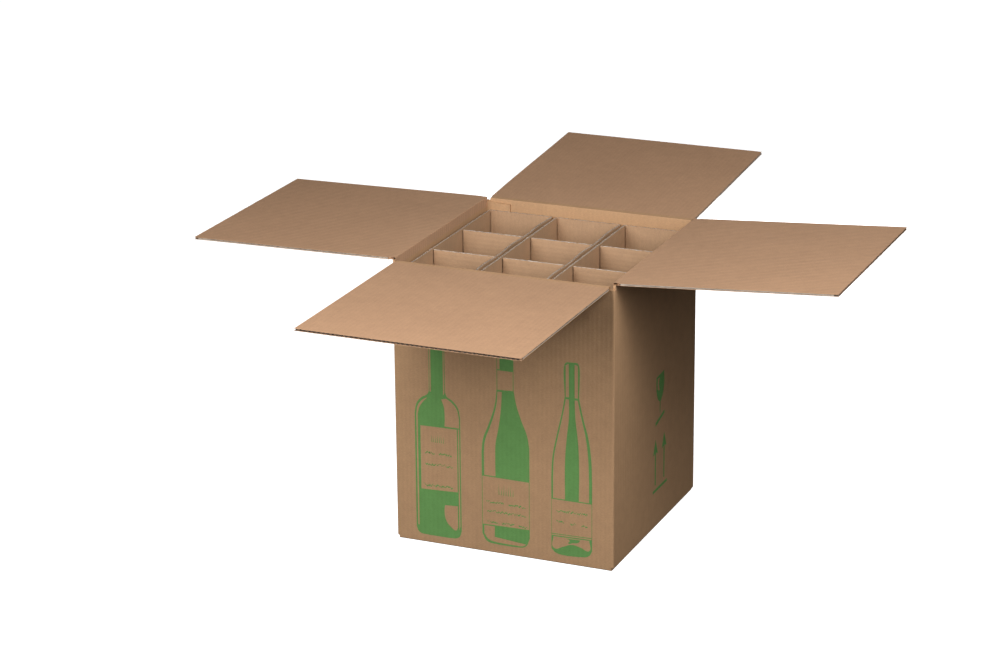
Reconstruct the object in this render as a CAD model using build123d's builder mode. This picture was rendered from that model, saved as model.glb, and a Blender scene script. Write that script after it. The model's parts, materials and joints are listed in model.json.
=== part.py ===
from build123d import *

import os
from math import cos, radians, sin

# Nine-bottle shipping carton: a folded corrugated body, four full-length top
# flaps that hinge on its walls, and a loose divider set of column sleeves and
# slotted cross boards. The origin is the centre of the base, with the front to
# -Y and the height along +Z. All sizes are in millimetres.

os.makedirs("parts", exist_ok=True)

# Carton body
board = 3.2  # corrugated board, facing to facing
inside_length = 305.0  # clear inside, along X
inside_width = 305.0  # clear inside, along Y
closed_level = 387.0  # underside of the first top flap when it is closed
corner_radius = 2.2  # outer radius of the four upright folds
fold_radius = 2.0  # outer radius of the bottom folds
layer_gap = 0.15  # air between two boards that are folded over each other
bottom_seam = 1.0  # gap where the two outer bottom flaps meet
bottom_inset = 3.0  # how far a bottom flap's sides stop short of the corners
tab_width = 35.0  # glue tab inside the back wall
tab_taper = 1.5  # how much the tab narrows at its top and bottom
tab_drop = 1.2  # tab's top below the back wall's
wall_gap = 0.15  # wall top to the nearest flap that passes over it

# Top flaps
flap_play = 12.0  # how much shorter than the inside a flap is
pair_inset = {"front": 5.5, "back": 5.5, "left": 2.5, "right": 2.5}
root_chamfer = 5.0  # corners cut off beside the fold
rest_angle = {"front": 0.0, "back": 4.0, "left": -1.0, "right": 4.0}
axis_height = {"front": 1.25, "back": 2.0, "left": 3.0, "right": 3.6}
root_setback = {"front": 1.5, "back": 1.5, "left": 2.4, "right": 3.2}
face_clearance = 0.25  # flap to wall when the flap hangs down
close_order = ["front", "back", "left", "right"]
outward_turn = {"front": -90, "back": 90, "left": 180, "right": 0}

# Divider set
divider_board = 2.9
sleeve_gap = 4.0  # between neighbouring sleeves
sleeve_side_gap = 3.9  # outer sleeves to the left and right walls
sleeve_front_gap = 7.4  # sleeves to the inside of the front wall
sleeve_tab_gap = 0.6  # sleeves to the glue tab inside the back wall
sleeve_headroom = 10.0  # sleeves' tops below the first closed flap
sleeve_bend = 0.5  # inner radius of the sleeves' folds
sleeve_seam = 1.0  # gap where a sleeve's strip meets itself
cross_play = 0.5  # cross boards' ends to the left and right walls
cross_drop = 1.5  # cross boards' tops below the sleeves'
slot_play = 1.4  # a slot is wider than its board by this much
slot_lean = 0.1  # part of the play on the near side of the board
slot_end_play = 2.0  # air between two crossing slots' ends

outer_length = inside_length + 2 * board
outer_width = inside_width + 2 * board
inner_flap_level = board + layer_gap
floor_level = inner_flap_level + board
half_span = {
    "front": outer_width / 2,
    "back": outer_width / 2,
    "left": outer_length / 2,
    "right": outer_length / 2,
}
flap_length = {
    "front": inside_width - flap_play,
    "back": inside_width - flap_play,
    "left": inside_length - flap_play,
    "right": inside_length - flap_play,
}
fold_span = {
    "front": outer_length,
    "back": outer_length,
    "left": outer_width,
    "right": outer_width,
}

# A flap's fold axis lies outside its wall. Hanging, the flap clears the wall's
# face; closed, it lies one layer above the flap that closed before it.
closed_face = {
    side: closed_level + layer * (board + layer_gap)
    for layer, side in enumerate(close_order)
}
rest_face = {
    side: closed_face[side] - 2 * axis_height[side] + board for side in close_order
}
axis_level = {side: rest_face[side] + axis_height[side] for side in close_order}
axis_offset = {side: axis_height[side] + face_clearance for side in close_order}
wall_top = {
    side: min(rest_face[side], closed_face[side]) - wall_gap for side in close_order
}


# Carton body: one folded and glued blank
with BuildPart() as carton:
    with BuildSketch():
        RectangleRounded(outer_length, outer_width, corner_radius)
        Rectangle(inside_length, inside_width, mode=Mode.SUBTRACT)
    extrude(amount=max(wall_top.values()))

    # The side walls step down to their own tops, and the front and back walls
    # take the corners with them.
    cut_height = outer_width
    for side, across in (("left", -1), ("right", 1)):
        with BuildSketch(Plane.XY.offset(wall_top[side])):
            with Locations((across * half_span[side], 0)):
                Rectangle(4 * board, 2 * outer_width)
        extrude(amount=cut_height, mode=Mode.SUBTRACT)
    for side, along in (("front", -1), ("back", 1)):
        with BuildSketch(Plane.XY.offset(wall_top[side])):
            with Locations((0, along * half_span[side])):
                Rectangle(2 * outer_length, 2 * board)
        extrude(amount=cut_height, mode=Mode.SUBTRACT)

    # The side walls stop at the inner bottom flaps' level.
    with BuildSketch():
        with Locations((-half_span["left"], 0), (half_span["right"], 0)):
            Rectangle(2 * board, 2 * outer_width)
    extrude(amount=inner_flap_level, mode=Mode.SUBTRACT)

    # Inner bottom flaps, from the side walls to the middle
    inner_flap_width = inside_width - 2 * bottom_inset
    with BuildSketch(Plane.XY.offset(inner_flap_level)):
        Rectangle(outer_length, inner_flap_width)
        Rectangle(bottom_seam, inner_flap_width, mode=Mode.SUBTRACT)
    extrude(amount=board)

    # Outer bottom flaps, from the front and back walls to the middle
    outer_flap_length = outer_length - 2 * bottom_inset
    with BuildSketch():
        Rectangle(outer_flap_length, outer_width)
        Rectangle(outer_flap_length, bottom_seam, mode=Mode.SUBTRACT)
    extrude(amount=board)

    # Bottom folds
    outer_folds = (
        carton.edges()
        .filter_by(Axis.X)
        .filter_by_position(Axis.Z, -0.01, 0.01)
        .filter_by(lambda edge: abs(abs(edge.center().Y) - outer_width / 2) < 0.01)
    )
    inner_folds = (
        carton.edges()
        .filter_by(Axis.Y)
        .filter_by_position(Axis.Z, inner_flap_level - 0.01, inner_flap_level + 0.01)
        .filter_by(lambda edge: abs(abs(edge.center().X) - outer_length / 2) < 0.01)
    )
    fillet(outer_folds + inner_folds, fold_radius)

    # Glue tab: the left wall's end, glued inside the back wall
    tab_foot = floor_level + bottom_inset
    tab_head = wall_top["back"] - tab_drop
    with BuildSketch(Plane.XZ.offset(-inside_width / 2)):
        with BuildLine():
            Polyline(
                (-outer_length / 2 + board / 2, tab_foot),
                (-inside_length / 2 + tab_width, tab_foot + tab_taper),
                (-inside_length / 2 + tab_width, tab_head - tab_taper),
                (-outer_length / 2 + board / 2, tab_head),
                close=True,
            )
        make_face()
    extrude(amount=board)

carton.part.label = "carton"
export_step(carton.part, "parts/carton.step")


# Top flaps: each is drawn on its own hinge plane, whose origin is on the fold
# axis, with local X pointing away from the wall.
for side in close_order:
    turn = radians(outward_turn[side])
    lift = radians(rest_angle[side])
    outward = Vector(cos(turn), sin(turn), 0)
    upward = Vector(0, 0, 1)
    hinge = Plane(
        origin=outward * (half_span[side] + axis_offset[side]) + upward * axis_level[side],
        x_dir=outward * cos(lift) + upward * sin(lift),
        z_dir=upward * cos(lift) - outward * sin(lift),
    )
    flap_width = fold_span[side] - 2 * pair_inset[side]
    with BuildPart() as flap:
        with BuildSketch(hinge.offset(-axis_height[side])) as outline:
            with Locations((-root_setback[side], 0)):
                Rectangle(flap_length[side], flap_width, align=(Align.MIN, Align.CENTER))
            chamfer(outline.vertices().group_by(Axis.X)[0], root_chamfer)
        extrude(amount=board)
    flap.part.label = f"top_flap_{side}"
    export_step(flap.part, f"parts/{flap.part.label}.step")


# Divider set: sleeves slotted from below stand over cross boards slotted from
# above, all on the carton's floor.
sleeve_width = (inside_length - 2 * sleeve_side_gap - 2 * sleeve_gap) / 3
sleeve_back_gap = board + sleeve_tab_gap
sleeve_depth = inside_width - sleeve_front_gap - sleeve_back_gap
sleeve_top = closed_level - sleeve_headroom
sleeve_pitch = sleeve_width + sleeve_gap
sleeve_centres = [column * sleeve_pitch for column in (-1, 0, 1)]
sleeve_back = inside_width / 2 - sleeve_back_gap
sleeve_front = sleeve_back - sleeve_depth
cell_depth = (sleeve_depth - 4 * divider_board) / 3
row_pitch = cell_depth + divider_board
cross_fronts = [sleeve_front + divider_board + cell_depth + row * row_pitch for row in (0, 1)]
cross_length = inside_length - 2 * cross_play
cross_top = sleeve_top - cross_drop
slot_width = divider_board + slot_play
slot_meeting = (floor_level + cross_top) / 2

for name, centre in zip(("left", "middle", "right"), sleeve_centres):
    with BuildPart() as sleeve:
        with BuildSketch(Plane.XY.offset(floor_level)):
            with Locations((centre, (sleeve_front + sleeve_back) / 2)):
                RectangleRounded(sleeve_width, sleeve_depth, sleeve_bend + divider_board)
                RectangleRounded(
                    sleeve_width - 2 * divider_board,
                    sleeve_depth - 2 * divider_board,
                    sleeve_bend,
                    mode=Mode.SUBTRACT,
                )
            with Locations((centre, sleeve_front)):
                Rectangle(sleeve_seam, 3 * divider_board, mode=Mode.SUBTRACT)
        extrude(amount=sleeve_top - floor_level)
        with BuildSketch(Plane.XY.offset(floor_level)):
            for cross_front in cross_fronts:
                with Locations((centre, cross_front - slot_play / 2)):
                    Rectangle(2 * sleeve_width, slot_width, align=(Align.CENTER, Align.MIN))
        extrude(amount=slot_meeting + slot_end_play / 2 - floor_level, mode=Mode.SUBTRACT)
    sleeve.part.label = f"sleeve_{name}"
    export_step(sleeve.part, f"parts/{sleeve.part.label}.step")

sleeve_walls = [
    edge
    for centre in sleeve_centres
    for edge in (centre - sleeve_width / 2, centre + sleeve_width / 2 - divider_board)
]
for name, cross_front in zip(("front", "back"), cross_fronts):
    with BuildPart() as cross_board:
        with BuildSketch(Plane.XZ.offset(-cross_front)):
            with Locations((0, floor_level)):
                Rectangle(
                    cross_length, cross_top - floor_level, align=(Align.CENTER, Align.MIN)
                )
            for wall_left in sleeve_walls:
                with Locations((wall_left - slot_lean, slot_meeting - slot_end_play / 2)):
                    Rectangle(
                        slot_width, cross_top, align=(Align.MIN, Align.MIN), mode=Mode.SUBTRACT
                    )
        extrude(amount=-divider_board)
    cross_board.part.label = f"cross_board_{name}"
    export_step(cross_board.part, f"parts/{cross_board.part.label}.step")

for side in close_order:
    print(side, "axis level", round(axis_level[side], 3), "offset", round(axis_offset[side], 3))
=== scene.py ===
import json
import math
import random
import bpy
from mathutils import Matrix, Vector


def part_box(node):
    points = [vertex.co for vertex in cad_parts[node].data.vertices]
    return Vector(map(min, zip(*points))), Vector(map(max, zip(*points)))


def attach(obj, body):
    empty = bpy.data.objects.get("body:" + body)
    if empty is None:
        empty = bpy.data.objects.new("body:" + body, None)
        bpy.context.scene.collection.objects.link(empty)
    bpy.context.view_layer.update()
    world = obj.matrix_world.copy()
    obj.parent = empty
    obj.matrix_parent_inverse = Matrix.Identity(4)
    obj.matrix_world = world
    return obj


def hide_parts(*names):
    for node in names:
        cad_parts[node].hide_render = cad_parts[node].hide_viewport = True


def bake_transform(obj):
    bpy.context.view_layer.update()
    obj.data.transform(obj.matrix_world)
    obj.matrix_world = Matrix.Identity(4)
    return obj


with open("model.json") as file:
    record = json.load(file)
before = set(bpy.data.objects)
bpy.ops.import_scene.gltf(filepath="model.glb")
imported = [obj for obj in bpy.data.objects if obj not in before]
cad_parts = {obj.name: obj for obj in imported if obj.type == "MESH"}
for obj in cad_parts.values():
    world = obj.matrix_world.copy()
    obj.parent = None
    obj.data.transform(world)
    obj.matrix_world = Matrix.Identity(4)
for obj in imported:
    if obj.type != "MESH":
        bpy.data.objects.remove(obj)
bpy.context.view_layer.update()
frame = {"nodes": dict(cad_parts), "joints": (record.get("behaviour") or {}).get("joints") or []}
print("frame loaded")

mm = 0.001
up = Vector((0, 0, 1))


def clearSelection():
    for thing in list(bpy.context.selected_objects):
        thing.select_set(False)


def activate(piece):
    clearSelection()
    piece.select_set(True)
    bpy.context.view_layer.objects.active = piece


def chooseVertices(piece, wanted):
    # leaves the piece in edit mode with only the wanted vertices selected
    activate(piece)
    bpy.ops.object.mode_set(mode="EDIT")
    bpy.ops.mesh.select_mode(type="VERT")
    bpy.ops.mesh.select_all(action="DESELECT")
    bpy.ops.object.mode_set(mode="OBJECT")
    for vertex in piece.data.vertices:
        vertex.select = wanted(vertex.co)
    bpy.ops.object.mode_set(mode="EDIT")


def chooseFaces(piece, wanted):
    activate(piece)
    bpy.ops.object.mode_set(mode="EDIT")
    bpy.ops.mesh.select_mode(type="FACE")
    bpy.ops.mesh.select_all(action="DESELECT")
    bpy.ops.object.mode_set(mode="OBJECT")
    for face in piece.data.polygons:
        face.select = wanted(face.center)
    bpy.ops.object.mode_set(mode="EDIT")


def applyModifier(piece, kind, **settings):
    activate(piece)
    modifier = piece.modifiers.new(kind.title(), kind)
    for name, value in settings.items():
        setattr(modifier, name, value)
    bpy.ops.object.modifier_apply(modifier=modifier.name)


def applyPlace(piece, place):
    activate(piece)
    piece.matrix_world = place
    bpy.ops.object.transform_apply(location=True, rotation=True, scale=True)


def joinPieces(pieces, name):
    activate(pieces[0])
    for piece in pieces:
        piece.select_set(True)
    bpy.ops.object.join()
    pieces[0].name = name
    pieces[0].data.name = name
    return pieces[0]


class Wire:
    # a node's output that can be used in sums
    def __init__(self, tree, socket):
        self.tree, self.socket = tree, socket

    def maths(self, operation, *others):
        return addNode(self.tree, "Math", {"operation": operation}, dict(enumerate([self, *others])))

    def __add__(self, other):
        return self.maths("ADD", other)

    def __sub__(self, other):
        return self.maths("SUBTRACT", other)

    def __mul__(self, other):
        return self.maths("MULTIPLY", other)

    def __rsub__(self, other):
        return addNode(self.tree, "Math", {"operation": "SUBTRACT"}, {0: other, 1: self})

    __radd__ = __add__
    __rmul__ = __mul__


def addNode(tree, kind, settings, inputs, output=0):
    node = tree.nodes.new("ShaderNode" + kind)
    for name, value in settings.items():
        setattr(node, name, value)
    for key, value in inputs.items():
        if isinstance(value, Wire):
            tree.links.new(value.socket, node.inputs[key])
        else:
            node.inputs[key].default_value = value
    return Wire(tree, node.outputs[output])


def noise(tree, place, scale, detail=2.0, roughness=0.5):
    inputs = {"Vector": place, "Scale": scale, "Detail": detail, "Roughness": roughness}
    return addNode(tree, "TexNoise", {}, inputs)


def stretch(tree, place, scale):
    return addNode(tree, "Mapping", {}, {"Vector": place, "Scale": scale})


def mixColours(tree, amount, first, second, blend="MIX"):
    settings = {"data_type": "RGBA", "blend_type": blend}
    return addNode(tree, "Mix", settings, {0: amount, 6: first, 7: second}, output=2)


boardPitch = 6.3 * mm  # one flute to the next
paperNoise = {  # scale per metre, detail, roughness
    "clouds": (9.0, 3.0),
    "blotches": (75.0, 3.0, 0.6),
    "fibres": (900.0, 3.0, 0.7),
    "flecks": (2300.0, 1.0, 0.5),
    "patches": (22.0, 2.0),
    "specks": (1500.0, 2.0, 0.8),
}
paperTone = {"blotches": 0.19, "flecks": 0.2, "specks": 0.22, "speckLevel": 0.69, "speckShade": 0.45}
paperDepth = {"fibres": 0.00007, "blotches": 0.00022, "clouds": 0.0006}  # metres
fibreGloss = 0.2


def kraftPaper(name, look):
    # a brown liner: cloudy tone, short fibres, and the flutes showing through as faint ridges, raised
    # by the bump and also painted as shade in the colour
    material = bpy.data.materials.new(name)
    material.use_nodes = True
    tree = material.node_tree
    shader = tree.nodes["Principled BSDF"]
    place = addNode(tree, "TexCoord", {}, {}, output="Object")
    facing = addNode(tree, "TexCoord", {}, {}, output="Normal")
    parts = {axis: addNode(tree, "SeparateXYZ", {}, {0: place}, output=axis) for axis in "XYZ"}
    if look["across"] == "walls":
        sideways = addNode(tree, "SeparateXYZ", {}, {0: facing}, output="X").maths("ABSOLUTE")
        sideways = sideways.maths("GREATER_THAN", 0.5)
        across = parts["Y"] * sideways + parts["X"] * (1 - sideways)
    else:
        across = parts[look["across"]]

    clouds = noise(tree, place, *paperNoise["clouds"]) - 0.5
    blotches = noise(tree, place, *paperNoise["blotches"]) - 0.5
    grain = stretch(tree, place, look["grain"])
    fibres = noise(tree, grain, *paperNoise["fibres"]) - 0.5
    flecks = noise(tree, grain, *paperNoise["flecks"]) - 0.5
    ridges = (across * (math.tau / look["pitch"])).maths("SINE")
    ridges = ridges * noise(tree, place, *paperNoise["patches"])

    tone = clouds * look["clouds"] + blotches * paperTone["blotches"] + fibres * look["fibres"]
    # the ridges also darken the colour along the flute valleys: painted shade of the washboard relief
    tone = tone + flecks * paperTone["flecks"] + ridges * look["paintedRidgeShade"] + 1.0
    plain = (*look["colour"], 1.0)
    shade = addNode(tree, "CombineXYZ", {}, {0: tone, 1: tone, 2: tone})
    colour = mixColours(tree, 1.0, plain, shade, "MULTIPLY")
    # sparse dark fibres
    specks = noise(tree, grain, *paperNoise["specks"]).maths("GREATER_THAN", paperTone["speckLevel"])
    darkPaper = (*[channel * paperTone["speckShade"] for channel in look["colour"]], 1.0)
    colour = mixColours(tree, specks * paperTone["specks"], colour, darkPaper)

    height = ridges * look["ridgeDepth"] + fibres * paperDepth["fibres"]
    height = height + blotches * paperDepth["blotches"] + clouds * paperDepth["clouds"]
    bump = addNode(tree, "Bump", {}, {"Strength": 1.0, "Distance": 1.0, "Height": height})
    tree.links.new(colour.socket, shader.inputs["Base Color"])
    tree.links.new(bump.socket, shader.inputs["Normal"])
    rough = fibres * fibreGloss + look["roughness"]
    tree.links.new(rough.socket, shader.inputs["Roughness"])
    shader.inputs["Specular IOR Level"].default_value = look["shine"]
    return material


liner = {
    "colour": (0.50, 0.297, 0.176),
    "across": "X",
    "pitch": boardPitch,
    "grain": (0.35, 1.0, 1.0),
    "clouds": 0.16,
    "fibres": 0.42,
    # how much the ridges darken the colour: painted shade of the washboard
    "paintedRidgeShade": 0.03,
    "ridgeDepth": 0.00007,
    "roughness": 0.78,
    "shine": 0.25,
}
wallPaper = kraftPaper(
    "kraft liner, walls", {**liner, "across": "walls", "colour": (0.50, 0.300, 0.162)}
)
frontPaper = kraftPaper("kraft liner, front and back flaps", liner)
# the side flaps get deeper ridges and a much stronger painted ridge shade in their colour
sidePaper = kraftPaper(
    "kraft liner, side flaps",
    {**liner, "across": "Y", "grain": (1.0, 0.35, 1.0), "paintedRidgeShade": 0.12, "ridgeDepth": 0.00022},
)
dividerLiner = {**liner, "colour": (0.465, 0.290, 0.170), "clouds": 0.2}
sleevePaper = kraftPaper(
    "kraft liner, sleeves", {**dividerLiner, "across": "walls", "grain": (1.0, 1.0, 0.35)}
)
crossPaper = kraftPaper(
    "kraft liner, cross boards",
    {**dividerLiner, "across": "Z", "paintedRidgeShade": 0.05, "ridgeDepth": 0.00005},
)
smooth = {**liner, "paintedRidgeShade": 0.0, "ridgeDepth": 0.0}
rimPaper = kraftPaper("crushed rim", {**smooth, "colour": (0.50, 0.42, 0.34), "clouds": 0.5})
# the cross boards' top rims are the cut edge's colour made paler, as a painted highlight along their
# tops
rimWithPaintedHighlight = kraftPaper(
    "crushed rim, cross boards, painted highlight", {**smooth, "colour": (0.66, 0.58, 0.49), "clouds": 0.5}
)
# the fluting is coloured far darker than its brown paper, as painted shade inside the flute cells
flutingWithPaintedShade = kraftPaper(
    "fluting paper, darkened for painted shade", {**smooth, "colour": (0.16, 0.12, 0.09), "roughness": 0.9}
)
greenInk = kraftPaper(
    "green ink",
    {
        **liner,
        "colour": (0.150, 0.335, 0.098),
        "across": "walls",
        "clouds": 0.12,
        "fibres": 0.35,
        "paintedRidgeShade": 0.03,
    },
)
print("papers mixed")


def paperSheet(name, width, length, columns, rows, level):
    # a flat sheet centred on X, with its near edge on Y = 0
    clearSelection()
    bpy.ops.mesh.primitive_grid_add(x_subdivisions=columns, y_subdivisions=rows, size=1)
    sheet = bpy.context.object
    sheet.name = name
    place = Matrix.Translation((0, length / 2, level)) @ Matrix.Diagonal((width, length, 1, 1))
    applyPlace(sheet, place)
    return sheet


crestGain = 1.5  # subdivision takes a third off the crests
sheetRim = {
    "margin": 0.5 * mm,  # what counts as a sheet's edge
    "lap": 1.4,  # liners' thicknesses that a crushed rim leaves bare
    "columns": 140,
    "rough": 0.22 * mm,
    "paper": 0.15 * mm,
}
rootSkin = {"ends": 0.4 * mm, "inset": 0.1 * mm, "columns": 120}


def flutedSheet(name, board):
    # four columns to a flute: the crests go up, the troughs go down, and subdivision rounds them
    flutes = round(board["width"] / board["pitch"])
    quarter = board["width"] / (4 * flutes)
    sheet = paperSheet(name, board["width"], board["length"], 4 * flutes, board["rows"], 0)
    reach = (board["thickness"] - 2 * board["liner"] - board["medium"]) / 2 * crestGain
    for step, lift in ((1, reach), (3, -reach)):
        chooseVertices(
            sheet, lambda co: round((co.x + board["width"] / 2) / quarter) % 4 == step
        )
        bpy.ops.transform.translate(value=(0, 0, lift))
        bpy.ops.object.mode_set(mode="OBJECT")
    applyModifier(sheet, "SUBSURF", levels=1, render_levels=1)
    return sheet


def cutCorner(piece, point, outward):
    activate(piece)
    bpy.ops.object.mode_set(mode="EDIT")
    bpy.ops.mesh.select_all(action="SELECT")
    bpy.ops.mesh.bisect(plane_co=point, plane_no=outward, clear_outer=True)
    bpy.ops.object.mode_set(mode="OBJECT")


def cutWindow(piece, low, high):
    # scores the four sides of a window, then takes out what is inside
    activate(piece)
    bpy.ops.object.mode_set(mode="EDIT")
    for point, normal in ((low, (1, 0, 0)), (high, (1, 0, 0)), (low, (0, 1, 0)), (high, (0, 1, 0))):
        bpy.ops.mesh.select_all(action="SELECT")
        bpy.ops.mesh.bisect(plane_co=(*point, 0), plane_no=normal)
    bpy.ops.object.mode_set(mode="OBJECT")
    chooseFaces(
        piece, lambda centre: low[0] < centre.x < high[0] and low[1] < centre.y < high[1]
    )
    bpy.ops.mesh.delete(type="FACE")
    bpy.ops.object.mode_set(mode="OBJECT")


def roughenEdges(sheet, board, seed):
    # a knife leaves the liner's rim a little uneven, within the sheet's own plane
    level = sheet.data.vertices[0].co.z
    half = board["width"] / 2 - sheetRim["margin"]
    far = board["length"] - sheetRim["margin"]
    near = -1.0 if board.get("folded") else sheetRim["margin"]
    chooseVertices(sheet, lambda co: abs(co.x) > half or co.y > far or co.y < near)
    bpy.ops.transform.vertex_random(offset=board["ragged"], uniform=1.0, normal=0.0, seed=seed)
    bpy.ops.object.mode_set(mode="OBJECT")
    for vertex in sheet.data.vertices:
        vertex.co.z = level


def crushedRim(name, board, side, seed):
    # a blunt cut leaves torn medium that closes the gap between the liners
    gap = board["thickness"] - sheetRim["lap"] * board["liner"]
    ends = board["rim"]
    if side:
        rim = paperSheet(name, gap, board["length"] - 2 * ends, 4, sheetRim["columns"], 0)
        place = Matrix.Translation((side * (board["width"] / 2 - board["recess"]), ends, 0))
        place @= Matrix.Rotation(side * math.pi / 2, 4, "Y")
    else:
        rim = paperSheet(name, board["width"] - 2 * ends, gap, board["columns"], 3, 0)
        place = Matrix.Translation((0, board["length"] - board["recess"], gap / 2))
        place @= Matrix.Rotation(-math.pi / 2, 4, "X")
    chooseVertices(rim, lambda co: True)
    bpy.ops.transform.vertex_random(offset=sheetRim["rough"], uniform=0.6, normal=1.0, seed=seed)
    bpy.ops.object.mode_set(mode="OBJECT")
    applyPlace(rim, place)
    for low, high in board.get("windows", ()):
        cutWindow(rim, low, high)
    return rim


def foldedRoot(name, board):
    # the liner carries on round the flap's root and its cut corners, so no flutes show there
    inset = rootSkin["inset"]
    span = board["width"] - rootSkin["ends"]
    root = paperSheet(name, span, board["thickness"] - 2 * inset, rootSkin["columns"], 2, 0)
    middle = board["thickness"] / 2 - inset
    place = Matrix.Translation((0, inset, -middle)) @ Matrix.Rotation(math.pi / 2, 4, "X")
    applyPlace(root, place)
    straight = board["width"] / 2 - board["chamfer"]
    for vertex in root.data.vertices:
        vertex.co.y += max(0, abs(vertex.co.x) - straight)
    return root


def corrugatedBoard(name, board, facing, seed):
    # two liners and the fluted medium between them, lying flat with the flutes along Y
    level = (board["thickness"] - board["liner"]) / 2
    sheets = []
    for height in (level, -level):
        size = (board["width"], board["length"], board["columns"], board["rows"])
        sheets.append(paperSheet(name + "_liner", *size, height))
    sheets.append(flutedSheet(name + "_fluting", board))
    for index, sheet in enumerate(sheets):
        for point, outward in board.get("corners", ()):
            cutCorner(sheet, point, outward)
        for low, high in board.get("windows", ()):
            cutWindow(sheet, low, high)
        if index < 2:
            roughenEdges(sheet, board, seed + index)
        paper = board["medium"] if index == 2 else board["liner"]
        applyModifier(sheet, "SOLIDIFY", thickness=paper, offset=0.0)
        sheet.data.materials.append(flutingWithPaintedShade if index == 2 else facing)
    for side in board["rimSides"]:
        rim = crushedRim(name + "_rim", board, side, seed + 5 + side)
        applyModifier(rim, "SOLIDIFY", thickness=sheetRim["paper"], offset=0.0)
        rim.data.materials.append(board.get("rimPaper", rimPaper))
        sheets.append(rim)
    if board.get("folded"):
        root = foldedRoot(name + "_root", board)
        applyModifier(root, "SOLIDIFY", thickness=sheetRim["paper"], offset=0.0)
        root.data.materials.append(facing)
        sheets.append(root)
    piece = joinPieces(sheets, name)
    activate(piece)
    bpy.ops.object.shade_smooth_by_angle(angle=math.radians(35))
    return piece


flapBoard = {
    "length": 293 * mm,
    "thickness": 3.2 * mm,
    "liner": 0.4 * mm,
    "medium": 0.28 * mm,
    "pitch": boardPitch,
    "columns": 150,
    "rows": 4,
    "ragged": 0.28 * mm,
    "chamfer": 5 * mm,
    "rim": 6 * mm,  # the crushed rims stop this far from the ends
    "rimSides": (-1, 1),
    "recess": 0.45 * mm,
    "folded": True,
}
flapSides = {
    "front": {"outward": (0, -1, 0), "lift": 0, "height": 1.25, "setback": 1.5, "paper": frontPaper},
    "back": {"outward": (0, 1, 0), "lift": 4, "height": 2.0, "setback": 1.5, "paper": frontPaper},
    "left": {"outward": (-1, 0, 0), "lift": -1, "height": 3.0, "setback": 2.4, "paper": sidePaper},
    "right": {"outward": (1, 0, 0), "lift": 4, "height": 3.6, "setback": 3.2, "paper": sidePaper},
}
folds = {joint["name"]: Vector(joint["pos_m"]) for joint in frame["joints"]}


def hingePlace(side, lift=None):
    # X along the fold, Y away from the wall, Z up, with the origin on the fold's axis
    values = flapSides[side]
    outward = Vector(values["outward"])
    angle = math.radians(values["lift"] if lift is None else lift)
    away = outward * math.cos(angle) + up * math.sin(angle)
    lifted = up * math.cos(angle) - outward * math.sin(angle)
    place = Matrix((away.cross(lifted), away, lifted)).transposed().to_4x4()
    place.translation = folds["fold_" + side]
    return place


def foldWidth(side):
    low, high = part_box("top_flap_" + side)
    along = 0 if flapSides[side]["outward"][1] else 1
    return high[along] - low[along]


for number, (side, values) in enumerate(flapSides.items()):
    width = foldWidth(side)
    cut = flapBoard["chamfer"]
    corners = [((sign * (width / 2 - cut), 0, 0), (sign, -1, 0)) for sign in (-1, 1)]
    board = {**flapBoard, "width": width, "corners": corners}
    flap = corrugatedBoard("board_" + side, board, values["paper"], 10 * number)
    seat = (0, -values["setback"] * mm, (flapBoard["thickness"] / 2 - values["height"] * mm))
    applyPlace(flap, hingePlace(side) @ Matrix.Translation(seat))
    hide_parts("top_flap_" + side)
    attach(flap, "flap_" + side)
print("flaps made")


sleeveBoard = {
    "thickness": 2.9 * mm,
    "liner": 0.36 * mm,
    "medium": 0.26 * mm,
    "pitch": boardPitch,
    "rows": 3,
    "ragged": 0.25 * mm,
    "rim": 0.5 * mm,
    "rimSides": (0,),  # 0 is the far end, which becomes a sleeve's top
    "recess": 0.25 * mm,
}
divider = {
    "corner": 2.2 * mm,  # radius of a sleeve's fold, at the middle of its board
    "seam": 1.0 * mm,
    "hold": 3 * mm,  # a wall is held straight this near to a fold
    "slotPlay": 1.4 * mm,
    "slotLean": 0.1 * mm,
    "slotEnd": 2.0 * mm,
    "bead": {"groove": 1.1 * mm, "width": 1.4 * mm, "proud": 2.0 * mm, "round": 0.5 * mm},
    "beadTop": 0.4 * mm,  # how far the bead stops below the sleeve's top
    "bow": {"left": 2.3 * mm, "middle": 2.0 * mm, "right": 0.0},
}


def roundedPath(low, high, radius, bows):
    # once round a sleeve, from the middle of its front wall and to the right
    (left, front), (right, back) = low, high
    middle = (left + right) / 2
    points = [Vector((middle + divider["seam"] / 2, front, 0))]
    turns = (
        (right - radius, front + radius, -90),
        (right - radius, back - radius, 0),
        (left + radius, back - radius, 90),
        (left + radius, front + radius, 180),
    )
    for index, (x, y, start) in enumerate(turns):
        for step in range(5):
            angle = math.radians(start + 90 * step / 4)
            points.append(Vector((x + radius * math.cos(angle), y + radius * math.sin(angle), 0)))
        if index == 0:
            points += bows
    points.append(Vector((middle - divider["seam"] / 2, front, 0)))
    return points


def bowedWall(x, stops, bow):
    # the wall is held at each stop and leans out between them
    points = []
    for start, end in zip(stops, stops[1:]):
        for step in range(1, 12):
            along = step / 12
            y = start + (end - start) * along
            points.append(Vector((x - bow * math.sin(math.pi * along**1.3) ** 2, y, 0)))
    return points


def pathLength(points):
    return sum((b - a).length for a, b in zip(points, points[1:]))


def guideCurve(name, points):
    data = bpy.data.curves.new(name, "CURVE")
    data.dimensions = "2D"
    spline = data.splines.new("POLY")
    spline.points.add(len(points) - 1)
    for target, point in zip(spline.points, points):
        target.co = (*point, 1)
    guide = bpy.data.objects.new(name, data)
    bpy.context.collection.objects.link(guide)
    return guide


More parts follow.
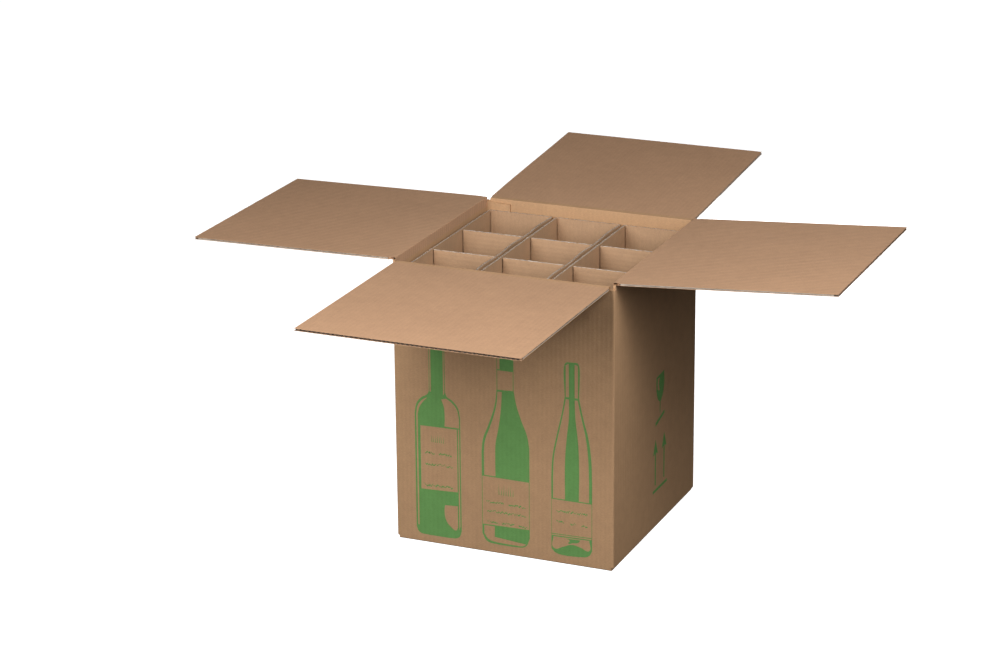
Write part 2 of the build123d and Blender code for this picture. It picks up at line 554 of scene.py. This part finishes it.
def foldBead(name, left, back, bottom, top):
    # inside a sharp fold the liner bunches into a bead, with a groove between it and the next wall
    bead = divider["bead"]
    clearSelection()
    bpy.ops.mesh.primitive_cube_add(size=1)
    ridge = bpy.context.object
    ridge.name = name
    size = Matrix.Diagonal((bead["width"], 2 * bead["proud"], top - bottom, 1))
    place = Matrix.Translation((left + bead["groove"] + bead["width"] / 2, back, (top + bottom) / 2))
    applyPlace(ridge, place @ size)
    applyModifier(ridge, "BEVEL", width=bead["round"], segments=2)
    ridge.data.materials.append(sleevePaper)
    return ridge


standing = Matrix.Rotation(math.radians(90), 4, "X")
crossLow = {row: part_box("cross_board_" + row)[0] for row in ("front", "back")}
crossHigh = {row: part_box("cross_board_" + row)[1] for row in ("front", "back")}
floorLevel = crossLow["front"][2]
slotMeeting = (floorLevel + crossHigh["front"][2]) / 2

for number, name in enumerate(("left", "middle", "right")):
    low, high = [Vector(corner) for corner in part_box("sleeve_" + name)]
    inset = sleeveBoard["thickness"] / 2
    left, front = low.x + inset, low.y + inset
    right, back = high.x - inset, high.y - inset
    crossings = [(crossLow[row][1] + crossHigh[row][1]) / 2 for row in crossLow]
    holds = [front + divider["hold"], *crossings, back - divider["hold"]]
    bows = bowedWall(right, holds, divider["bow"][name])
    path = roundedPath((left, front), (right, back), divider["corner"], bows)
    length = pathLength(path)
    # what to add to Y for a place on the right wall, and to take Y from for one on the left wall
    toRightWall = pathLength(path[:6]) - (front + divider["corner"]) - length / 2
    toLeftWall = length / 2 - (pathLength(path[:6]) - (front + divider["corner"]))
    height = slotMeeting + divider["slotEnd"] / 2 - low.z
    windows = []
    for row in crossLow:
        start = crossLow[row][1] - divider["slotPlay"] / 2
        end = crossHigh[row][1] + divider["slotPlay"] / 2
        windows.append(((start + toRightWall, -mm), (end + toRightWall, height)))
        windows.append(((toLeftWall - end, -mm), (toLeftWall - start, height)))
    board = {**sleeveBoard, "width": length, "length": high.z - low.z, "columns": 330}
    board["windows"] = windows
    strip = corrugatedBoard("column_" + name, board, sleevePaper, 50 + 10 * number)
    applyPlace(strip, Matrix.Translation((length / 2, 0, low.z)) @ standing)
    guide = guideCurve("guide_" + name, path)
    applyModifier(strip, "CURVE", object=guide, deform_axis="POS_X")
    bpy.data.objects.remove(guide)
    wall = sleeveBoard["thickness"]
    bead = foldBead("bead_" + name, low.x + wall, high.y - wall, low.z, high.z - divider["beadTop"])
    strip = joinPieces([strip, bead], "column_" + name)
    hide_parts("sleeve_" + name)
    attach(strip, "carton")

sleeveEdges = []
for name in ("left", "middle", "right"):
    low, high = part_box("sleeve_" + name)
    sleeveEdges += [low[0], high[0] - sleeveBoard["thickness"]]
for number, row in enumerate(("front", "back")):
    low, high = crossLow[row], crossHigh[row]
    width, length = high[2] - low[2], high[0] - low[0]
    windows = []
    for edge in sleeveEdges:
        start = edge - divider["slotLean"] - low[0]
        end = start + sleeveBoard["thickness"] + divider["slotPlay"]
        bottom = slotMeeting - divider["slotEnd"] / 2 - low[2] - width / 2
        windows.append(((bottom, start), (width / 2 + mm, end)))
    board = {**sleeveBoard, "width": width, "length": length, "columns": 60, "rows": 90}
    board.update({"windows": windows, "rimSides": (1,), "recess": 0.1 * mm, "rimPaper": rimWithPaintedHighlight})
    cross = corrugatedBoard("divider_cross_" + row, board, crossPaper, 90 + 10 * number)
    place = Matrix(((0, 1, 0), (0, 0, 1), (1, 0, 0))).to_4x4()
    place.translation = (low[0], (low[1] + high[1]) / 2, low[2] + width / 2)
    applyPlace(cross, place)
    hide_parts("cross_board_" + row)
    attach(cross, "carton")
print("divider made")


carton = frame["nodes"]["carton"]
for index in range(len(carton.material_slots)):
    carton.material_slots[index].link = "OBJECT"
    carton.material_slots[index].material = wallPaper

halfBox = (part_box("carton")[1][0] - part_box("carton")[0][0]) / 2
wallTops = {"front": 386.85, "back": 389.40, "left": 390.75, "right": 392.90}  # millimetres
crease = {
    "gap": 0.25 * mm,  # between a hanging flap and the wall's outer face
    "bend": 0.9 * mm,
    "proud": 0.07 * mm,
    "paper": 0.08 * mm,
    "foot": 9 * mm,  # how far the strip reaches down the wall
    "lap": 4 * mm,  # and out over the flap
    "ends": 1.75 * mm,
    "insideBlend": (-0.8 * mm, 0.1 * mm),  # two shifts outward from the strip's bend, for fold points that are worked out but not used
    "topDrop": 0.6 * mm,
    "underStep": 0.7 * mm,
    "outsideBlend": ((-0.1 * mm, -1.0 * mm), (1.0 * mm, 0)),
}


def stripAlongFold(name, side, profile):
    # a strip of liner with this section, in the fold's own outward and upward directions
    data = bpy.data.curves.new(name, "CURVE")
    data.dimensions = "2D"
    data.fill_mode = "NONE"
    spline = data.splines.new("POLY")
    spline.points.add(len(profile) - 1)
    for target, (outward, height) in zip(spline.points, profile):
        target.co = (outward, height, 0, 1)
    data.extrude = foldWidth(side) / 2 - crease["ends"]
    strip = bpy.data.objects.new(name, data)
    bpy.context.collection.objects.link(strip)
    activate(strip)
    bpy.ops.object.convert(target="MESH")
    strip = bpy.context.object
    lay = Matrix(((0, 0, 1), (1, 0, 0), (0, 1, 0))).to_4x4()
    applyPlace(strip, hingePlace(side, 0) @ lay)
    applyModifier(strip, "SOLIDIFY", thickness=crease["paper"], offset=0.0)
    bpy.ops.object.shade_smooth_by_angle(angle=math.radians(32))
    strip.data.materials.append(wallPaper if side in ("front", "back") else sidePaper)
    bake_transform(strip)


def foldPoint(side, outward, height):
    return hingePlace(side, 0) @ Vector((0, outward, height))


def onFlap(side, outward, height):
    # outward and upward from the fold, for a place given along the lifted flap and off its face
    tilt = math.radians(flapSides[side]["lift"])
    return (
        outward * math.cos(tilt) - height * math.sin(tilt),
        outward * math.sin(tilt) + height * math.cos(tilt),
    )


for side, values in flapSides.items():
    offset = values["height"] * mm + crease["gap"]
    top = wallTops[side] * mm - folds["fold_" + side].z
    setback = values["setback"] * mm

    # inside: up the wall's inner face, round the wall's top and out over the flap
    proud = crease["proud"]
    inner = -offset - flapBoard["thickness"] - proud
    upper = flapBoard["thickness"] - values["height"] * mm + proud
    begin = onFlap(side, -setback, upper)
    bend = crease["bend"]
    profile = [(inner, top - crease["foot"])]
    for step in range(7):
        angle = math.radians(90 * step / 6)
        reach = (bend * (1 - math.cos(angle)), bend * (math.sin(angle) - 1))
        profile.append((inner + reach[0], begin[1] + reach[1]))
    profile += [begin, onFlap(side, -setback + crease["lap"], upper)]
    start, end = [foldPoint(side, begin[0] + shift, 0) for shift in crease["insideBlend"]]
    stripAlongFold("crease_inside_" + side, side, profile)

    # outside: from the wall's outer face under the flap
    face = -offset + proud
    below = -values["height"] * mm - proud
    profile = [(face, top - crease["foot"]), (face, top - crease["topDrop"])]
    for reach in (crease["underStep"], crease["lap"]):
        profile.append(onFlap(side, -offset + reach, below))
    start, end = [
        foldPoint(side, outward + shift, height + rise)
        for (outward, height), (shift, rise) in zip(profile[1:3], crease["outsideBlend"])
    ]
    stripAlongFold("crease_outside_" + side, side, profile)
print("folds made")


# outlines are in millimetres from a bottle's centre line and the ground; a third value marks a corner
bordeaux = {
    "centre": -94.0,
    "outlines": [
        [
            (-11.2, 305, 1), (11.2, 305, 1), (11.6, 218, 1), (14, 212), (22, 207), (29.5, 198),
            (32.8, 184, 1), (33, 23, 1), (29, 14), (15, 11, 1), (-15, 11, 1), (-29, 13.5),
            (-33, 22, 1), (-32.8, 184, 1), (-29.5, 198), (-22, 207), (-14, 212), (-11.6, 218, 1),
        ],
        [(-10.4, 300, 1), (-8.8, 300, 1), (-8.8, 216, 1), (-10.8, 216, 1)],
        [(9.0, 300, 1), (10.3, 300, 1), (10.6, 216, 1), (8.8, 213, 1)],
        [
            (6.0, 207, 1), (9.5, 197), (10.6, 184), (10.2, 169.5, 1), (31.3, 169.5, 1),
            (31.2, 183, 1), (28.0, 196), (20.5, 204.5), (13, 209, 1),
        ],
        [
            (-30.6, 183, 1), (-27.9, 195), (-21.5, 203), (-14, 207.5, 1), (-20, 201), (-26, 192),
            (-28.6, 182, 1), (-28.6, 24, 1), (-30.6, 24, 1),
        ],
        [(-25, 166.5, 1), (28, 167.5, 1), (28, 78.5, 1), (-25, 76.5, 1)],
        [(29.4, 168, 1), (31.3, 168, 1), (31.3, 30, 1), (29.6, 24, 1)],
        [(9, 57.5, 1), (27.8, 58.5, 1), (27.8, 28, 1), (25, 23.5), (18, 27), (10.6, 36), (8.4, 48)],
    ],
    "tuft": (-8.5, 8.0, 145, 157),
    "lines": [(-19, -5, 130), (1, 20, 130), (-19, 21, 114), (-22, 21, 84)],
}
burgundy = {
    "centre": 3.2,
    "outlines": [
        [
            (-11.6, 303, 1), (12.2, 303, 1), (12.4, 233, 1), (16, 214), (23.3, 192), (30.6, 174),
            (34, 156, 1), (34, 28, 1), (28, 16), (10, 12.7, 1), (-12, 12.9, 1), (-27, 15.5),
            (-34, 26, 1), (-34, 143, 1), (-31.8, 160), (-23.8, 181), (-14.6, 210), (-11.6, 233, 1),
        ],
        [(-10.8, 299, 1), (-7.4, 299, 1), (-7.2, 260, 1), (-10.8, 260, 1)],
        [(-10.7, 258.6, 1), (11.4, 258.6, 1), (11.2, 232.5, 1), (-10.5, 231.5, 1)],
        [
            (-10.4, 229, 1), (-4.2, 229, 1), (-6.4, 200), (-10, 176), (-13.8, 156), (-14.6, 130, 1),
            (-14.4, 109.5, 1), (-30.6, 109.5, 1), (-30.8, 141, 1), (-29.0, 158), (-21, 180),
            (-12.6, 208),
        ],
        [(-33.2, 108, 1), (33.3, 107.5, 1), (33.3, 40.5, 1), (-33.2, 39.5, 1)],
        [
            (-31.3, 38, 1), (-16, 38, 1), (-16.4, 23, 1), (28.8, 19, 1), (26, 16.6), (10, 15.2, 1),
            (-12, 15.6, 1), (-25, 18.5), (-31.2, 26, 1),
        ],
    ],
    "tuft": (-9.5, 10.5, 84, 101),
    "lines": [(-28, -3, 73), (3, 28, 72), (-28, 29, 60), (-28, -12, 45), (-6, 12, 44.5), (18, 31, 44)],
}
rhine = {
    "centre": 97.0,
    "outlines": [
        [
            (-7, 282.5, 1), (8, 283, 1), (10.3, 279), (10.3, 234, 1), (16, 208), (23, 182),
            (27, 154), (28.5, 120, 1), (28.5, 24, 1), (24, 16.5), (10, 13, 1), (-6, 12, 1),
            (-23, 14.5), (-28.8, 20, 1), (-28.8, 122, 1), (-27, 150), (-21.4, 178.5), (-13.6, 213),
            (-9.9, 234, 1), (-9.9, 279),
        ],
        [(-8.3, 278, 1), (-4.2, 280.5, 1), (-3.8, 234.5, 1), (-8.3, 234.5, 1)],
        [(4, 280.5, 1), (8.5, 279, 1), (8.6, 234.5, 1), (4.2, 234.5, 1)],
        [
            (-8.2, 231.5, 1), (-3.8, 231.5, 1), (-4.0, 205), (-7, 178), (-9.4, 146),
            (-9.6, 91.5, 1), (-26.4, 91.5, 1), (-26.4, 122, 1), (-24.8, 150), (-19.2, 178.5),
            (-11.6, 213),
        ],
        [
            (4.2, 231.5, 1), (8.2, 231.5, 1), (13.4, 208), (19.4, 182), (22.8, 155), (24.2, 120, 1),
            (24.2, 91.5, 1), (10, 91.5, 1), (10.2, 148), (8.2, 180), (5.2, 205),
        ],
        [(-28.2, 90, 1), (27.8, 90, 1), (27.8, 42.6, 1), (-28.2, 41.6, 1)],
        [(-28.2, 40.6, 1), (27.8, 41.6, 1), (27.8, 40.0, 1), (-28.2, 39.0, 1)],
        [(-26, 37.5, 1), (24.5, 38.5, 1), (24.5, 24), (12, 27), (0, 29), (-12, 24.5), (-25.6, 21)],
        [(-9, 36.6, 1), (12, 37, 1), (9, 33), (2, 31.6), (-5, 30.5), (-3, 34)],
    ],
    "tuft": None,
    "lines": [(-23, 22, 75), (-22, -11, 60), (-2, 6, 59), (13, 22, 58)],
}


stroke = {"step": 1.2, "waver": 1.7, "slant": 0.3, "weight": (0.6, 2.3)}  # millimetres
tuft = {"blades": 7, "uneven": 0.35, "lean": 1.0, "halfRoot": 0.5}


def scribble(start, end, level, draw):
    # a wavering stroke that says nothing
    steps = max(5, round((end - start) / stroke["step"]))
    points = []
    for step in range(steps + 1):
        x = start + (end - start) * step / steps
        points.append((x, level + draw.uniform(-stroke["waver"], stroke["waver"])))
    lower = [(x + stroke["slant"], z - draw.uniform(*stroke["weight"])) for x, z in points]
    return [(x, z, 1) for x, z in points + lower[::-1]]


def grassTuft(left, right, bottom, top, draw):
    blades = []
    half = tuft["halfRoot"]
    for index in range(tuft["blades"]):
        x = left + (right - left) * index / (tuft["blades"] - 1)
        tip = top - draw.uniform(0, tuft["uneven"]) * (top - bottom)
        lean = draw.uniform(-tuft["lean"], tuft["lean"])
        blades.append([(x - half, bottom, 1), (x + half, bottom, 1), (x + lean, tip, 1)])
    return blades


def printOnFace(name, outlines, centre, place):
    data = bpy.data.curves.new(name, "CURVE")
    data.dimensions = "2D"
    data.fill_mode = "BOTH"
    data.resolution_u = 10
    for outline in outlines:
        spline = data.splines.new("BEZIER")
        spline.bezier_points.add(len(outline) - 1)
        spline.use_cyclic_u = True
        for target, point in zip(spline.bezier_points, outline):
            target.co = ((point[0] + centre) * mm, point[1] * mm, 0)
            kind = "VECTOR" if len(point) == 3 else "AUTO"
            target.handle_left_type = target.handle_right_type = kind
    ink = bpy.data.objects.new(name, data)
    bpy.context.collection.objects.link(ink)
    activate(ink)
    bpy.ops.object.convert(target="MESH")
    ink = bpy.context.object
    applyPlace(ink, place)
    ink.data.materials.append(greenInk)
    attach(ink, "carton")


inkLift = 0.06 * mm
frontFace = Matrix(((1, 0, 0), (0, 0, -1), (0, 1, 0))).to_4x4()
frontFace.translation = (0, -halfBox - inkLift, 0)
rightFace = Matrix(((0, 0, 1), (1, 0, 0), (0, 1, 0))).to_4x4()
rightFace.translation = (halfBox + inkLift, 0, 0)

draw = random.Random(7)
for name, bottle in (("tall_bottle", bordeaux), ("round_bottle", burgundy), ("slim_bottle", rhine)):
    marks = list(bottle["outlines"])
    if bottle["tuft"]:
        marks += grassTuft(*bottle["tuft"], draw)
    for start, end, level in bottle["lines"]:
        marks.append(scribble(start, end, level, draw))
    printOnFace("print_" + name, marks, bottle["centre"], frontFace)

upArrow = [(-2, 0), (2, 0), (2, 46), (9, 44), (0, 66), (-9, 44), (-2, 46)]
arrows = [[(x + shift, z + 64, 1) for x, z in upArrow] for shift in (-0.5, 33)]
arrows.append([(-10, 58, 1), (45, 58, 1), (45, 54, 1), (-10, 54, 1)])
printOnFace("print_arrows", arrows, 0, rightFace)
goblet = [
    [
        (1, 217, 1), (31, 219, 1), (30, 196), (24, 184), (17.5, 179, 1), (17.0, 163, 1),
        (15.0, 163, 1), (14.5, 179, 1), (8, 184), (2, 196),
    ],
    [(6, 214, 1), (13, 214, 1), (11, 204, 1), (14, 196, 1), (7, 198)],
    [(-1, 153.5, 1), (33, 162, 1), (33, 157, 1), (-1, 148.5, 1)],
]
printOnFace("print_goblet", goblet, 0, rightFace)
print("print laid down")


clearSelection()
bpy.ops.mesh.primitive_plane_add(size=14.0, location=(0, 0, -0.5 * mm))
floor = bpy.context.object
floor.name = "studio_floor"
floorPaint = bpy.data.materials.new("pale floor")
floorPaint.use_nodes = True
floorShader = floorPaint.node_tree.nodes["Principled BSDF"]
floorShader.inputs["Base Color"].default_value = (0.9, 0.9, 0.9, 1)
floorShader.inputs["Roughness"].default_value = 0.9
floorShader.inputs["Emission Color"].default_value = (1, 1, 1, 1)
floorShader.inputs["Emission Strength"].default_value = 1.0
floor.data.materials.append(floorPaint)
floor.visible_diffuse = False
floor.visible_glossy = False

world = bpy.data.worlds.new("studio")
world.use_nodes = True
background = world.node_tree.nodes["Background"]
background.inputs["Color"].default_value = (1, 1, 1, 1)
background.inputs["Strength"].default_value = 0.015
bpy.context.scene.world = world

# tall softboxes in front and to the right, each as a low and a high half, and two fills
# below the flaps for the walls behind
lights = {
    "front_low": {"azimuth": -12, "elevation": 20, "power": 14.6},
    "front_high": {"azimuth": -12, "elevation": 42, "power": 8.2},
    "right_low": {"azimuth": 60, "elevation": 20, "power": 5.9},
    "right_high": {"azimuth": 60, "elevation": 42, "power": 12.3},
    "back_fill": {"azimuth": 192, "elevation": -5, "power": 7.0},
    "left_fill": {"azimuth": -102, "elevation": -5, "power": 5.0},
}
softbox = {"size": 0.7, "distance": 1.6, "aim": Vector((0, 0, 0.33))}
for name, lamp in lights.items():
    data = bpy.data.lights.new(name, "AREA")
    data.size = softbox["size"]
    data.energy = lamp["power"]
    turn, height = math.radians(lamp["azimuth"]), math.radians(lamp["elevation"])
    level = Vector((math.sin(turn), -math.cos(turn), 0))
    toward = level * math.cos(height) + up * math.sin(height)
    light = bpy.data.objects.new(name, data)
    light.location = softbox["aim"] + toward * softbox["distance"]
    light.rotation_euler = (-toward).to_track_quat("-Z", "Y").to_euler()
    light.visible_camera = False
    bpy.context.collection.objects.link(light)

view = {
    "azimuth": -23.29,
    "elevation": 18.93,
    "roll": -0.516,
    "distance": 4.03898,
    "lens": 107.51,
    "aim": (0.0003, 0.0003, 0.190),
    "right": -0.06523,
    "up": 0.06578,
}
azimuth, elevation, roll = (math.radians(view[key]) for key in ("azimuth", "elevation", "roll"))
ahead = Vector((math.sin(azimuth), math.cos(azimuth), 0))
forward = ahead * math.cos(elevation) - up * math.sin(elevation)
level = forward.cross(up).normalized()
rise = level.cross(forward)
across = level * math.cos(roll) + rise * math.sin(roll)
upward = rise * math.cos(roll) - level * math.sin(roll)
cameraData = bpy.data.cameras.new("camera")
cameraData.lens = view["lens"]
cameraData.sensor_width = 36
cameraData.clip_end = 50
camera = bpy.data.objects.new("camera", cameraData)
bpy.context.collection.objects.link(camera)
place = Matrix((across, upward, -forward)).transposed().to_4x4()
place.translation = Vector(view["aim"]) - forward * view["distance"]
place.translation += across * view["right"] + upward * view["up"]
camera.matrix_world = place
bpy.context.scene.camera = camera
bpy.context.scene.view_settings.view_transform = "Standard"
print("studio ready")
